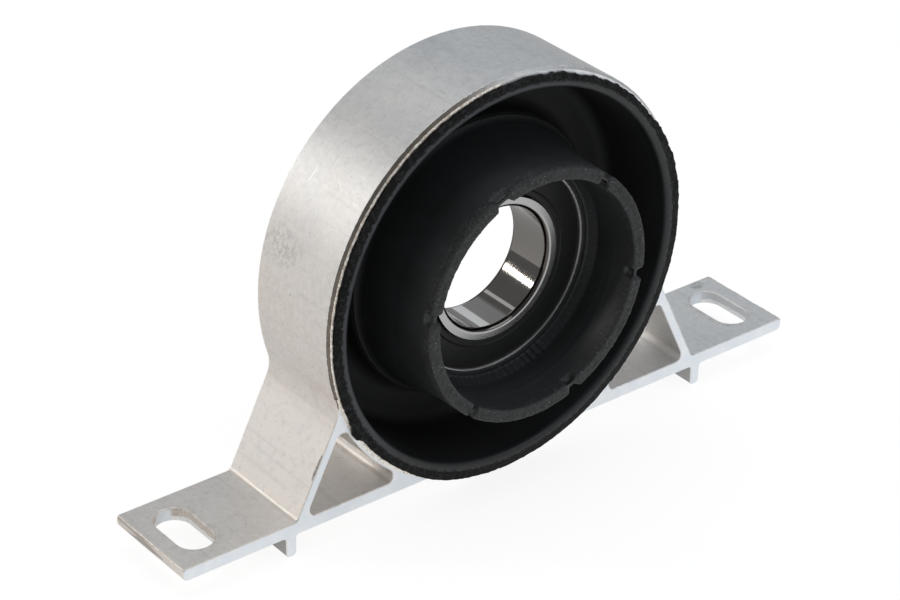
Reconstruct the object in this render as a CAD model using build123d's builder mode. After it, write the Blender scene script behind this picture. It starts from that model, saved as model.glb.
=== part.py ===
"""Driveshaft centre bearing.

A sealed ball bearing sits in a steel sleeve inside a rubber mount, and the mount is moulded
into the ring of an extruded aluminium housing with two slotted feet.

Millimetres. The origin is the centre of the bearing. Y runs along the shaft, with -Y towards
the open side of the rubber, X runs along the feet and Z points up.
"""
import os
from math import acos, cos, degrees, radians, sin, sqrt, tan

from build123d import *

# Ball bearing, 30 x 55 x 13
shaft_diameter = 30.0
bearing_diameter = 55.0
bearing_width = 13.0
ball_diameter = 7.144
ball_count = 11
ball_clearance = 0.05
groove_conformity = 1.04
groove_depth = 1.42
bore_edge_radius = 1.2
outer_chamfer = 0.9
face_edge_break = 0.15

# Ribbon cage
cage_sheet = 0.6
cage_pocket_clearance = 0.12
cage_race_clearance = 0.45
rivet_diameter = 1.2
rivet_hole_clearance = 0.02
rivet_head_diameter = 2.1
rivet_head_height = 0.45
rivet_head_taper = 30.0

# Seals
inner_face_width = 2.7
outer_face_width = 2.6
seal_recess = 0.5
seal_thickness = 0.8
seal_plate_thickness = 0.5
seal_shoulder_clearance = 0.3
seal_lip_clearance = 0.08
seal_edge_clearance = 0.05
seal_lip_width = 1.1
seal_bead_width = 0.9
seal_bead_height = 0.55
snap_groove_depth = 0.5
seal_ring_line = 0.2

# Housing, an extrusion sawn to length
housing_depth = 26.3
housing_front = -11.1
ring_radius = 50.3
ring_wall = 3.0
ring_edge_chamfer = 0.65
ring_edge_run_out = 4.0
void_ring_wall = 3.7
foot_length = 178.0
foot_thickness = 3.2
ring_below_foot = 4.8
foot_end_top_radius = 0.7
foot_end_bottom_radius = 1.5
strut_root_x = 58.9
strut_lean = 26.0
strut_thickness = 2.25
strut_root_fillet = 1.6
strut_ring_fillet = 7.0
ring_foot_fillet = 2.0
void_corner_radius = 1.9
rib_x = 60.4
rib_width = 2.75
rib_depth = 5.3
rib_tip_radius = 1.1
rib_root_fillet = 0.8
slot_end_distance = 9.0
slot_width = 9.0
slot_length = 17.2
slot_rim_radius = 0.3
saw_edge_break = 0.2

# Steel sleeve moulded into the collar
sleeve_sheet = 0.8
sleeve_step = 1.5
sleeve_cone_angle = 40.0
sleeve_flange_width = 2.1
sleeve_end_cover = 0.8

# Rubber mount
collar_front = -22.0
collar_bore_cover = 1.1
collar_outer_cover = 1.2
collar_edge_radius = 0.5
collar_taper_y = -10.0
collar_taper = 0.5
collar_flare = 2.2
shelf_y = 1.5
shelf_width = 1.4
shelf_radius = 0.6
race_lip_cover = 2.15
race_lip_thickness = 0.5
race_lip_width = 1.25
race_lip_radius = 0.15
race_lip_slope = 2.4
collar_mouth_radius = 1.0
collar_skirt_radius = 12.0
flare_radius = 1.2
pocket_floor_y = 7.5
pocket_fillet = 3.0
pocket_inner_taper = 0.3
pocket_wall_taper = 1.3
membrane_thickness = 4.3
membrane_back_radius = 3.0
membrane_outer_inset = 0.6
membrane_inner_inset = 1.4
hub_back_width = 3.0
back_edge_radius = 0.5
rim_overlap = 2.0
rim_proud = 1.6
rim_width = 3.4
rim_edge_radius = 0.6
rim_inner_edge_radius = 1.3
band_back_inset = 0.5
band_back_width = 1.8
sleeve_back_cover = 1.9
sleeve_back_overlap = 1.3
notch_count = 6
notch_start_angle = 52.0
notch_width = 3.4
notch_depth = 3.0
notch_corner_radius = 0.8
notch_neck_cover = 0.1

# Bearing sizes that follow
bore_radius = shaft_diameter / 2
bearing_radius = bearing_diameter / 2
half_width = bearing_width / 2
pitch_radius = (bore_radius + bearing_radius) / 2
ball_radius = ball_diameter / 2
groove_radius = ball_radius * groove_conformity
groove_shift = groove_radius - ball_radius - ball_clearance
inner_land = pitch_radius - ball_radius + groove_depth
outer_land = pitch_radius + ball_radius - groove_depth
inner_face_edge = bore_radius + inner_face_width
outer_face_edge = bearing_radius - outer_face_width
snap_groove_radius = outer_face_edge + snap_groove_depth
seal_face = half_width - seal_recess
seal_inside = seal_face - seal_thickness
seal_plate_inside = seal_inside - seal_plate_thickness
shoulder_y = seal_plate_inside - seal_shoulder_clearance
ball_step = 360 / ball_count
ball_start = 90.0
cage_inner = inner_land + cage_race_clearance
cage_outer = outer_land - cage_race_clearance
pocket_radius = ball_radius + cage_pocket_clearance

# Housing sizes that follow. The ring hangs a little below the feet. The strut's outer face is
# a line at strut_line from the ring's centre, and it meets the ring at strut_ring_angle.
housing_back = housing_front + housing_depth
foot_underside = ring_below_foot - ring_radius
foot_top = foot_underside + foot_thickness
foot_end = foot_length / 2
slot_x = foot_end - slot_end_distance
ring_bore = ring_radius - ring_wall
void_ring_radius = ring_bore + void_ring_wall
lean = radians(strut_lean)
strut_line = strut_root_x * cos(lean) + foot_top * sin(lean)
strut_ring_angle = lean - acos(strut_line / ring_radius)
ring_edge_start = -degrees(strut_ring_angle) - ring_edge_run_out
ring_edge_sweep = 180 + 2 * ring_edge_start
void_line = strut_line - strut_thickness
void_foot_x = (void_line - foot_top * sin(lean)) / cos(lean)
rib_tip = foot_underside - rib_depth
slot_y = housing_front + housing_depth / 2

# Sleeve sizes that follow. The cone between seat and tube keeps its sheet thickness.
seat_outer = bearing_radius + sleeve_sheet
tube_inner = bearing_radius + sleeve_step
tube_outer = tube_inner + sleeve_sheet
cone_length = sleeve_step / tan(radians(sleeve_cone_angle))
skin_shift = sleeve_sheet * tan(radians(sleeve_cone_angle / 2))
sleeve_front = collar_front + sleeve_end_cover
sleeve_back = half_width + sleeve_sheet
flange_edge = bearing_radius - sleeve_flange_width

# Rubber sizes that follow
collar_bore = tube_inner - collar_bore_cover
collar_radius = tube_outer + collar_outer_cover
flare_edge = collar_radius + collar_flare
pocket_inner = flare_edge + shelf_width
rim_radius = ring_bore + rim_overlap
rim_front = housing_front - rim_proud
pocket_outer_front = rim_radius - rim_width
pocket_outer_back = pocket_outer_front - pocket_wall_taper
lip_radius = bearing_radius - race_lip_cover
lip_front = -half_width - race_lip_thickness
membrane_back = pocket_floor_y + membrane_thickness
band_back = housing_back - band_back_inset
collar_back = sleeve_back + sleeve_back_cover
collar_back_edge = seat_outer - sleeve_back_overlap

# A cross-section that is turned about the shaft is drawn with its radius along X.
turning_plane = Plane.XY
# Seen along the shaft, X stays and Z is up.
section_plane = Plane.XZ

os.makedirs("parts", exist_ok=True)


def write(part, name):
    """Labels a finished piece and writes it to a file of its own."""
    part.label = name
    export_step(part, f"parts/{name}.step")


def mirrored(corners):
    """Closes a list of (x, z, radius) corners with their mirror images across X = 0."""
    return corners + [(-x, z, radius) for x, z, radius in reversed(corners)]


# Housing outline below the ring: feet, ribs and the outer faces of the struts
feet_corners = mirrored(
    [
        (rib_x - rib_width / 2, foot_underside, rib_root_fillet),
        (rib_x - rib_width / 2, rib_tip, rib_tip_radius),
        (rib_x + rib_width / 2, rib_tip, rib_tip_radius),
        (rib_x + rib_width / 2, foot_underside, rib_root_fillet),
        (foot_end, foot_underside, foot_end_bottom_radius),
        (foot_end, foot_top, foot_end_top_radius),
        (strut_root_x, foot_top, strut_root_fillet),
        (strut_line * cos(lean), strut_line * sin(lean), 0),
    ]
)
strut_ring_corner = (ring_radius * cos(strut_ring_angle), ring_radius * sin(strut_ring_angle))
ring_foot_corner = (sqrt(ring_radius**2 - foot_underside**2), foot_underside)

with BuildPart() as housing:
    with BuildSketch(section_plane.offset(-housing_back)) as outline:
        with BuildLine():
            FilletPolyline(
                [(x, z) for x, z, radius in feet_corners],
                radius=[radius for x, z, radius in feet_corners],
                close=True,
            )
        make_face()
        Circle(ring_radius)
        for side in (-1, 1):
            for (x, z), radius in (
                (strut_ring_corner, strut_ring_fillet),
                (ring_foot_corner, ring_foot_fillet),
            ):
                fillet(outline.vertices().sort_by_distance((side * x, z))[0], radius)
    extrude(amount=housing_depth)

    # Triangular opening between strut, foot and ring
    with BuildSketch(section_plane.offset(-housing_back)) as opening:
        with BuildLine():
            Polyline(
                (0, foot_top),
                (void_foot_x, foot_top),
                (void_line * cos(lean), void_line * sin(lean)),
                close=True,
            )
        make_face()
        Circle(void_ring_radius, mode=Mode.SUBTRACT)
        fillet(opening.vertices(), void_corner_radius)
        mirror(about=Plane.YZ)
    extrude(amount=housing_depth, mode=Mode.SUBTRACT)

    # Sawn ends: the outer edge and both openings are broken, the ring's bore comes later
    sawn_faces = housing.faces().filter_by(Axis.Y).sort_by(Axis.Y)
    chamfer(sawn_faces[0].edges() + sawn_faces[-1].edges(), saw_edge_break)

    with BuildSketch(section_plane.offset(-housing_back)):
        Circle(ring_bore)
    extrude(amount=housing_depth, mode=Mode.SUBTRACT)

    # Punched slots, long along the shaft
    with BuildSketch(Plane.XY.offset(foot_top)):
        with Locations((-slot_x, slot_y), (slot_x, slot_y)):
            SlotOverall(slot_length, slot_width, rotation=90)
    extrude(amount=-foot_thickness, mode=Mode.SUBTRACT)
    slot_rims = (
        housing.edges(Select.LAST)
        .filter_by(Plane.XY)
        .group_by(Axis.Z)[-1]
    )
    fillet(slot_rims, slot_rim_radius)

    # The ring's front edge is turned off at 45 degrees, from one strut over the top to the other
    with BuildSketch(turning_plane.rotated((0, ring_edge_start, 0))):
        with BuildLine():
            Polyline(
                (ring_radius - ring_edge_chamfer, housing_front),
                (ring_radius, housing_front + ring_edge_chamfer),
                (ring_radius + ring_edge_chamfer, housing_front),
                close=True,
            )
        make_face()
    revolve(axis=Axis.Y, revolution_arc=-ring_edge_sweep, mode=Mode.SUBTRACT)
write(housing.part, "housing")

# Steel sleeve: a seat for the bearing with a flange behind it, and a wider tube in the collar
with BuildPart() as mount_sleeve:
    with BuildSketch(turning_plane):
        with BuildLine():
            Polyline(
                (flange_edge, half_width),
                (bearing_radius, half_width),
                (bearing_radius, -half_width),
                (tube_inner, -half_width - cone_length),
                (tube_inner, sleeve_front),
                (tube_outer, sleeve_front),
                (tube_outer, -half_width - cone_length + skin_shift),
                (seat_outer, -half_width + skin_shift),
                (seat_outer, sleeve_back),
                (flange_edge, sleeve_back),
                close=True,
            )
        make_face()
    revolve(axis=Axis.Y)
write(mount_sleeve.part, "mount_sleeve")

# Rubber mount, as corners of its cross-section with the radius of each corner
rubber_corners = [
    # front lip over the bearing's outer race, then the collar's bore and end
    (bearing_radius, -half_width, 0),
    (lip_radius, -half_width, 0),
    (lip_radius, lip_front, race_lip_radius),
    (lip_radius + race_lip_width, lip_front, 0),
    (collar_bore, lip_front - race_lip_slope, collar_mouth_radius),
    (collar_bore, collar_front, collar_edge_radius),
    (collar_radius, collar_front, collar_edge_radius),
    # the collar's outside, its shelf and the pocket
    (collar_radius + collar_taper, collar_taper_y, collar_skirt_radius),
    (flare_edge, shelf_y - shelf_radius, flare_radius),
    (pocket_inner, shelf_y, shelf_radius),
    (pocket_inner + pocket_inner_taper, pocket_floor_y, pocket_fillet),
    (pocket_outer_back, pocket_floor_y, pocket_fillet),
    # the rim over the housing's front face
    (pocket_outer_front, rim_front, rim_inner_edge_radius),
    (rim_radius, rim_front, rim_edge_radius),
    (rim_radius, housing_front, 0),
    (ring_bore, housing_front, 0),
    # the bonded band, the membrane's back and the collar's back end
    (ring_bore, band_back, 0),
    (ring_bore - band_back_width, band_back, back_edge_radius),
    (pocket_outer_back - membrane_outer_inset, membrane_back, membrane_back_radius),
    (pocket_inner + membrane_inner_inset, membrane_back, membrane_back_radius),
    (seat_outer + hub_back_width, collar_back, membrane_back_radius),
    (collar_back_edge, collar_back, back_edge_radius),
    (collar_back_edge, sleeve_back, 0),
    # round the sleeve
    (seat_outer, sleeve_back, 0),
    (seat_outer, -half_width + skin_shift, 0),
    (tube_outer, -half_width - cone_length + skin_shift, 0),
    (tube_outer, sleeve_front, 0),
    (tube_inner, sleeve_front, 0),
    (tube_inner, -half_width - cone_length, 0),
]

with BuildPart() as rubber_mount:
    with BuildSketch(turning_plane):
        with BuildLine():
            FilletPolyline(
                [(radius, y) for radius, y, corner in rubber_corners],
                radius=[corner for radius, y, corner in rubber_corners],
                close=True,
            )
        make_face()
    revolve(axis=Axis.Y)
    # Notches in the collar's end, where the mould's pins hold the sleeve: each is cut from
    # inside and from outside, and a thin neck of rubber over the sleeve is left between
    with BuildSketch(section_plane.offset(-collar_front - notch_depth)):
        with PolarLocations((collar_bore + collar_radius) / 2, notch_count, notch_start_angle):
            RectangleRounded(2 * (collar_radius - collar_bore), notch_width, notch_corner_radius)
        Circle(tube_outer + notch_neck_cover, mode=Mode.SUBTRACT)
    extrude(amount=2 * notch_depth, mode=Mode.SUBTRACT)
    with BuildSketch(section_plane.offset(-collar_front - notch_depth)):
        with PolarLocations((collar_bore + collar_radius) / 2, notch_count, notch_start_angle):
            RectangleRounded(2 * (collar_radius - collar_bore), notch_width, notch_corner_radius)
        Circle(tube_inner - notch_neck_cover, mode=Mode.INTERSECT)
    extrude(amount=2 * notch_depth, mode=Mode.SUBTRACT)
write(rubber_mount.part, "rubber_mount")

# Outer race: groove for the balls, and on each side a recess with a groove for the seal's bead
with BuildPart() as outer_race:
    with BuildSketch(turning_plane) as outer_section:
        with BuildLine():
            Polyline(
                (bearing_radius, 0),
                (bearing_radius, half_width),
                (outer_face_edge, half_width),
                (outer_face_edge, seal_inside),
                (snap_groove_radius, seal_inside),
                (snap_groove_radius, shoulder_y),
                (outer_land, shoulder_y),
                (outer_land, 0),
                close=True,
            )
        make_face()
        rim_corners = outer_section.vertices().group_by(Axis.Y)[-1].sort_by(Axis.X)
        chamfer(rim_corners[-1], outer_chamfer)
        chamfer(outer_section.vertices().group_by(Axis.Y)[-1].sort_by(Axis.X)[0], face_edge_break)
        mirror(about=Plane.XZ)
        with Locations((pitch_radius - groove_shift, 0)):
            Circle(groove_radius, mode=Mode.SUBTRACT)
    revolve(axis=Axis.Y)
write(outer_race.part, "outer_race")

# Inner race: bore for the shaft, groove for the balls, and a shoulder behind each seal's lip
with BuildPart() as inner_race:
    with BuildSketch(turning_plane) as inner_section:
        with BuildLine():
            Polyline(
                (bore_radius, 0),
                (bore_radius, half_width),
                (inner_face_edge, half_width),
                (inner_face_edge, shoulder_y),
                (inner_land, shoulder_y),
                (inner_land, 0),
                close=True,
            )
        make_face()
        fillet(inner_section.vertices().group_by(Axis.Y)[-1].sort_by(Axis.X)[0], bore_edge_radius)
        chamfer(inner_section.vertices().group_by(Axis.Y)[-1].sort_by(Axis.X)[-1], face_edge_break)
        mirror(about=Plane.XZ)
        with Locations((pitch_radius + groove_shift, 0)):
            Circle(groove_radius, mode=Mode.SUBTRACT)
    revolve(axis=Axis.Y)
write(inner_race.part, "inner_race")

# Balls
ball_centres = []
for number in range(ball_count):
    angle = radians(ball_start + number * ball_step)
    ball_centres.append((pitch_radius * cos(angle), 0, pitch_radius * sin(angle)))
    with BuildPart(Plane(ball_centres[-1])) as ball:
        Sphere(ball_radius)
    write(ball.part, f"ball_{number + 1:02d}")

# Ribbon cage: two pressed halves that meet between the balls and bulge round them
for side, name in ((-1, "cage_front_half"), (1, "cage_back_half")):
    with BuildPart() as cage_half:
        with BuildSketch(section_plane):
            Circle(cage_outer)
            Circle(cage_inner, mode=Mode.SUBTRACT)
        extrude(amount=-side * cage_sheet)
        with Locations(*ball_centres):
            Sphere(pocket_radius + cage_sheet)
        with BuildSketch(section_plane):
            Circle(cage_outer)
            Circle(cage_inner, mode=Mode.SUBTRACT)
        extrude(amount=-side * half_width, mode=Mode.INTERSECT)
        with Locations(*ball_centres):
            Sphere(pocket_radius, mode=Mode.SUBTRACT)
        with BuildSketch(section_plane):
            with PolarLocations(pitch_radius, ball_count, ball_start + ball_step / 2):
                Circle(rivet_diameter / 2 + rivet_hole_clearance)
        extrude(amount=-side * cage_sheet, mode=Mode.SUBTRACT)
    write(cage_half.part, name)

# Rivets through both halves, headed on both sides
with BuildPart() as cage_rivets:
    with BuildSketch(section_plane):
        with PolarLocations(pitch_radius, ball_count, ball_start + ball_step / 2):
            Circle(rivet_diameter / 2)
    extrude(amount=cage_sheet, both=True)
    for side in (-1, 1):
        with BuildSketch(section_plane.offset(side * cage_sheet)):
            with PolarLocations(pitch_radius, ball_count, ball_start + ball_step / 2):
                Circle(rivet_head_diameter / 2)
        extrude(amount=side * rivet_head_height, taper=rivet_head_taper)
write(cage_rivets.part, "cage_rivets")

# Seals: a rubber disc with a lip on the inner race and a bead in the outer race's groove,
# and a steel plate bonded to its inside
lip_edge = inner_face_edge + seal_lip_clearance
bead_edge = snap_groove_radius - seal_edge_clearance
plate_inner = lip_edge + seal_lip_width
plate_outer = bead_edge - seal_bead_width
ring_line_radius = (lip_edge + plate_inner) / 2 + seal_lip_width
for side, name in ((-1, "front"), (1, "back")):
    with BuildPart() as seal:
        with BuildSketch(turning_plane):
            with BuildLine():
                Polyline(
                    (lip_edge, side * (seal_inside + seal_thickness / 4)),
                    (lip_edge, side * (seal_face - seal_thickness / 4)),
                    (lip_edge + seal_lip_width / 2, side * seal_face),
                    (ring_line_radius - seal_ring_line, side * seal_face),
                    (ring_line_radius, side * (seal_face + seal_ring_line)),
                    (ring_line_radius + seal_ring_line, side * seal_face),
                    (outer_face_edge - seal_edge_clearance, side * seal_face),
                    (outer_face_edge - seal_edge_clearance, side * seal_inside),
                    (bead_edge, side * (seal_inside - seal_edge_clearance)),
                    (bead_edge, side * (seal_inside - seal_bead_height)),
                    (plate_outer, side * (seal_inside - seal_bead_height)),
                    (plate_outer, side * seal_inside),
                    (plate_inner, side * seal_inside),
                    (plate_inner - seal_lip_width / 4, side * (seal_inside - seal_plate_thickness / 2)),
                    close=True,
                )
            make_face()
        revolve(axis=Axis.Y)
    write(seal.part, f"seal_{name}")

    with BuildPart() as seal_plate:
        with BuildSketch(turning_plane):
            with BuildLine():
                Polyline(
                    (plate_inner, side * seal_inside),
                    (plate_outer, side * seal_inside),
                    (plate_outer, side * seal_plate_inside),
                    (plate_inner, side * seal_plate_inside),
                    close=True,
                )
            make_face()
        revolve(axis=Axis.Y)
    write(seal_plate.part, f"seal_plate_{name}")
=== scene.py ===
# %% [markdown]
# # A driveshaft centre bearing
#
# The real object is an aluminium housing cut from an extrusion, with a rubber mount moulded
# into its ring and a sealed ball bearing in the middle of the rubber. The rigid pieces come
# from CAD as a fixed frame, in metres, with Y along the shaft and Z up. This lesson adds what
# CAD leaves out: the moulded rubber with its flash and crumbs, the burrs that the saw left on
# the aluminium, and a finish for every surface.

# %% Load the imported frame
from math import atan2, cos, hypot, pi, radians, sin, tan

import bmesh
import bpy
import numpy as np
from mathutils import Matrix, Vector, noise


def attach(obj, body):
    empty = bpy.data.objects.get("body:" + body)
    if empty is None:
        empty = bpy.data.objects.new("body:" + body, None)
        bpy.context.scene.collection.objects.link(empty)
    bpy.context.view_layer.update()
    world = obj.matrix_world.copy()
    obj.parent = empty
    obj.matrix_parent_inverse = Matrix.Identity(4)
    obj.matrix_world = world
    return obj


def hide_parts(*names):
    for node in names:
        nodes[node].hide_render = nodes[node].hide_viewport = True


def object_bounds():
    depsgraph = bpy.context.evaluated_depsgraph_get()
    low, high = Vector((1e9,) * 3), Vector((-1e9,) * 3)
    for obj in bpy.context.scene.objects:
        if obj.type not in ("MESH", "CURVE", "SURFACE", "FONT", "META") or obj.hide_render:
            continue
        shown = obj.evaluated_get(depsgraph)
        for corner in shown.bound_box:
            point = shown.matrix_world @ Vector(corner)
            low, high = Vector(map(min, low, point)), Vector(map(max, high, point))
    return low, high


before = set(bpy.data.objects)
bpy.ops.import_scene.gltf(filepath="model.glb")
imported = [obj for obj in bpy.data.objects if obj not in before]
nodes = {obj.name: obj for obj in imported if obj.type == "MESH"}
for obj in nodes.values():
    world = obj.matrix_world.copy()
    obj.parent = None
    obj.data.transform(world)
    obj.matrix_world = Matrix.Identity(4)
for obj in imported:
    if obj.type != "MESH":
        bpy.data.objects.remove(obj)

MM = 0.001
# Sizes of the housing that marks and burrs follow, in mm
ring_radius = 50.3
housing_front = -11.1
foot_top = -42.3
foot_underside = -45.5

cad_box = [list(corner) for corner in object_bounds()]
print("nodes", len(nodes))
print("CAD box, mm:", [[round(v / MM, 1) for v in corner] for corner in cad_box])

# %% [markdown]
# ## Shader maths as plain Python
#
# A material is a network of nodes. Writing each link by hand hides the idea, so a socket is
# wrapped in a small class whose operators add the Math nodes. An expression such as
# `1 - mask * 0.5` then reads as it would on paper. Every other node comes from one method that
# takes the node's type, its settings and the values of its sockets.

# %% A socket with operators
class Value:
    """A number that varies over a surface."""

    def __init__(self, finish, socket):
        self.finish = finish
        self.socket = socket

    def maths(self, operation, *values):
        """A Math node whose sockets take the given values, which don't include this one."""
        return self.finish.node(
            "ShaderNodeMath", {"operation": operation}, dict(enumerate(values))
        )

    def __add__(self, other):
        return self.maths("ADD", self, other)

    __radd__ = __add__

    def __sub__(self, other):
        return self.maths("SUBTRACT", self, other)

    def __rsub__(self, other):
        return self.maths("SUBTRACT", other, self)

    def __mul__(self, other):
        return self.maths("MULTIPLY", self, other)

    __rmul__ = __mul__

    def __pow__(self, other):
        return self.maths("POWER", self, other)

    def above(self, edge, width):
        """0 below edge, 1 above edge + width, and a soft step between."""
        return self.finish.node(
            "ShaderNodeMapRange",
            {"interpolation_type": "SMOOTHSTEP"},
            {"Value": self, "From Min": edge, "From Max": edge + width},
        )

    def below(self, edge, width):
        """1 below edge - width, 0 above edge, and a soft step between."""
        return 1 - self.above(edge - width, width)

    def farther_than(self, radius, width=0.00001):
        """For a squared distance in metres: 1 beyond a radius in mm."""
        return self.above((radius * MM) ** 2, width)

    def nearer_than(self, radius, width=0.00001):
        """For a squared distance in metres: 1 within a radius in mm."""
        return self.below((radius * MM) ** 2, width)

    def size(self):
        """The number without its sign."""
        return self.maths("ABSOLUTE", self)


class Finish:
    """A material whose nodes are made by one method."""

    def __init__(self, name, **shader_values):
        self.material = bpy.data.materials.new(name)
        self.material.use_nodes = True
        self.tree = self.material.node_tree
        self.shader = self.tree.nodes["Principled BSDF"]
        for socket, value in shader_values.items():
            self.shader.inputs[socket.replace("_", " ")].default_value = value

    def node(self, kind, settings=None, sockets=None, out=0):
        made = self.tree.nodes.new(kind)
        for name, value in (settings or {}).items():
            setattr(made, name, value)
        for name, value in (sockets or {}).items():
            socket = made.inputs[name]
            if isinstance(value, Value):
                self.tree.links.new(value.socket, socket)
            else:
                socket.default_value = value
        return Value(self, made.outputs[out])

    def place(self):
        """The point on the object, in metres."""
        return self.node("ShaderNodeTexCoord", out="Object")

    def facing(self):
        """The surface's own direction, part by part."""
        return self.parts(self.node("ShaderNodeTexCoord", out="Normal"))

    def parts(self, vector):
        """The x, y and z of a vector."""
        return [self.node("ShaderNodeSeparateXYZ", sockets={0: vector}, out=k) for k in range(3)]

    def stretched(self, vector, x, y, z):
        """A vector scaled along each axis; a small factor draws a pattern out along it."""
        return self.node(
            "ShaderNodeVectorMath", {"operation": "MULTIPLY"}, {0: vector, 1: (x, y, z)}
        )

    def noise(self, vector, scale, detail=3.0, roughness=0.55, distortion=0.0):
        return self.node(
            "ShaderNodeTexNoise",
            sockets={"Vector": vector, "Scale": scale, "Detail": detail, "Roughness": roughness,
                     "Distortion": distortion},
        )

    def specks(self, vector, scale, reach):
        """Small round spots, a fraction of the cells of a Voronoi pattern."""
        distance = self.node("ShaderNodeTexVoronoi", sockets={"Vector": vector, "Scale": scale})
        return distance.below(reach, reach * 0.5)

    def blend(self, factor, low, high):
        """A colour between two colours."""
        return self.node(
            "ShaderNodeMix", {"data_type": "RGBA"}, {0: factor, 6: low, 7: high}, out=2
        )

    def layers(self, colour, *coats):
        """A colour under coats of (mask, colour), each laid over those before it."""
        for mask, coat in coats:
            colour = self.blend(mask, colour, coat)
        return colour

    def wear(self, **links):
        """Links values to the shader's sockets."""
        for socket, value in links.items():
            self.tree.links.new(value.socket, self.shader.inputs[socket.replace("_", " ")])

    def relief(self, height, depth):
        """Fine relief, depth in metres for a height from 0 to 1."""
        bump = self.node("ShaderNodeBump", sockets={"Height": height, "Distance": depth})
        self.tree.links.new(bump.socket, self.shader.inputs["Normal"])


def grey(level, warmth=0.0):
    """A near-neutral colour: warmth above 0 is creamier, below 0 is bluer."""
    return (level * (1 + warmth), level, level * (1 - warmth), 1.0)


print("shader helpers ready")

# %% [markdown]
# ## Extruded aluminium
#
# The die leaves long fine lines along the extrusion, so its noise is stretched along Y. The
# faces where the saw cut it to length are brighter and grainy, with a slight blue that is painted
# cool light, and they are found by the direction in which they face. Handling adds dull patches,
# pits and short scratches.

# %% Lines, clouds and marks in the skin
die_line_pitch = 620.0
saw_grain = 1500.0

aluminium = Finish("extruded_aluminium", Metallic=1.0, Roughness=0.4)
spot = aluminium.place()
x, y, z = aluminium.parts(spot)
squared = x * x + z * z
facing_x, facing_y, facing_z = aluminium.facing()
sawn = facing_y.size().above(0.85, 0.1)
along = aluminium.stretched(spot, 1.0, 0.03, 1.0)
die_lines = aluminium.noise(along, die_line_pitch, detail=2.0)
wide_lines = aluminium.noise(along, die_line_pitch * 0.14, detail=2.0)
clouds = aluminium.noise(spot, 42.0, detail=4.0, distortion=0.5)
mottle = aluminium.noise(spot, 190.0, detail=4.0, roughness=0.65)
fine_mottle = aluminium.noise(spot, 620.0, detail=3.0, roughness=0.6)
grain = aluminium.noise(spot, saw_grain, detail=3.0, roughness=0.7)
pits = aluminium.specks(spot, 190.0, 0.05) * aluminium.noise(spot, 75.0).above(0.48, 0.08)
nicks = aluminium.specks(aluminium.stretched(spot, 1.0, 0.45, 1.3), 240.0, 0.045)
scratch_way = aluminium.stretched(spot, 1.6, 0.3, 1.2)
scratches = aluminium.noise(scratch_way, 520.0, detail=1.0).above(0.68, 0.02)
scratches = scratches * aluminium.noise(spot, 70.0).above(0.50, 0.06)
dots = aluminium.specks(spot, 330.0, 0.06) * aluminium.noise(spot, 120.0).above(0.52, 0.06)
flecks = aluminium.specks(spot, 410.0, 0.05) * aluminium.noise(spot, 95.0).above(0.54, 0.06)
rub_way = aluminium.stretched(spot, 0.5, 1.4, 1.9)
rubs = aluminium.noise(rub_way, 800.0, detail=2.0).above(0.66, 0.05)
rubs = rubs * aluminium.noise(spot, 48.0, detail=1.0).above(0.56, 0.06)
print("aluminium marks", len(aluminium.tree.nodes))

# %% [markdown]
# ## Round the slots
#
# A punch cut the slots. It tore their walls, and the skin round them is stained. Both are masks
# made from the distance to the slot's rim, and both slots share them because the distance uses
# the size of x without its sign. The left slot's wall is browner and more crusted.

# %% Stain and torn metal round the punched slots
slot_place = 0.080
slot_middle = 0.00205
slot_straight = 0.0041
slot_half_width = 0.0045
foot_plane = foot_top * MM
left_side = x.below(-0.01, 0.02)
right_side = x.above(-0.01, 0.02)
across_slot = x.size() - slot_place
past_straight = y.maths("MAXIMUM", (y - slot_middle).size() - slot_straight, 0.0)
from_rim = (across_slot * across_slot + past_straight * past_straight) ** 0.5 - slot_half_width
stain = from_rim.below(0.0030, 0.0030) * (1 - sawn) * across_slot.below(0.0010, 0.0030)
stain = stain * aluminium.noise(spot, 240.0, detail=4.0).above(0.36, 0.30)
crust = aluminium.noise(spot, 1500.0, detail=3.0, roughness=0.7)
crust_depth = aluminium.noise(spot, 420.0, detail=3.0)
in_slot = from_rim.below(0.0002, 0.0002) * z.below(foot_plane - 0.0003, 0.0003)
torn_wall = in_slot * (z + crust_depth * 0.0014).below(foot_plane - 0.0012, 0.0003)
torn_skin = aluminium.blend(right_side, grey(0.66, 0.09), grey(0.72, -0.03))
slot_wall = aluminium.blend(torn_wall, torn_skin, grey(1.0, -0.01))
crust_mark = crust.above(0.48, 0.12) * (left_side * 0.38 + 0.15)
slot_wall = aluminium.blend(crust_mark, slot_wall, grey(0.85, 0.04))
print("aluminium with slots", len(aluminium.tree.nodes))
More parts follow.
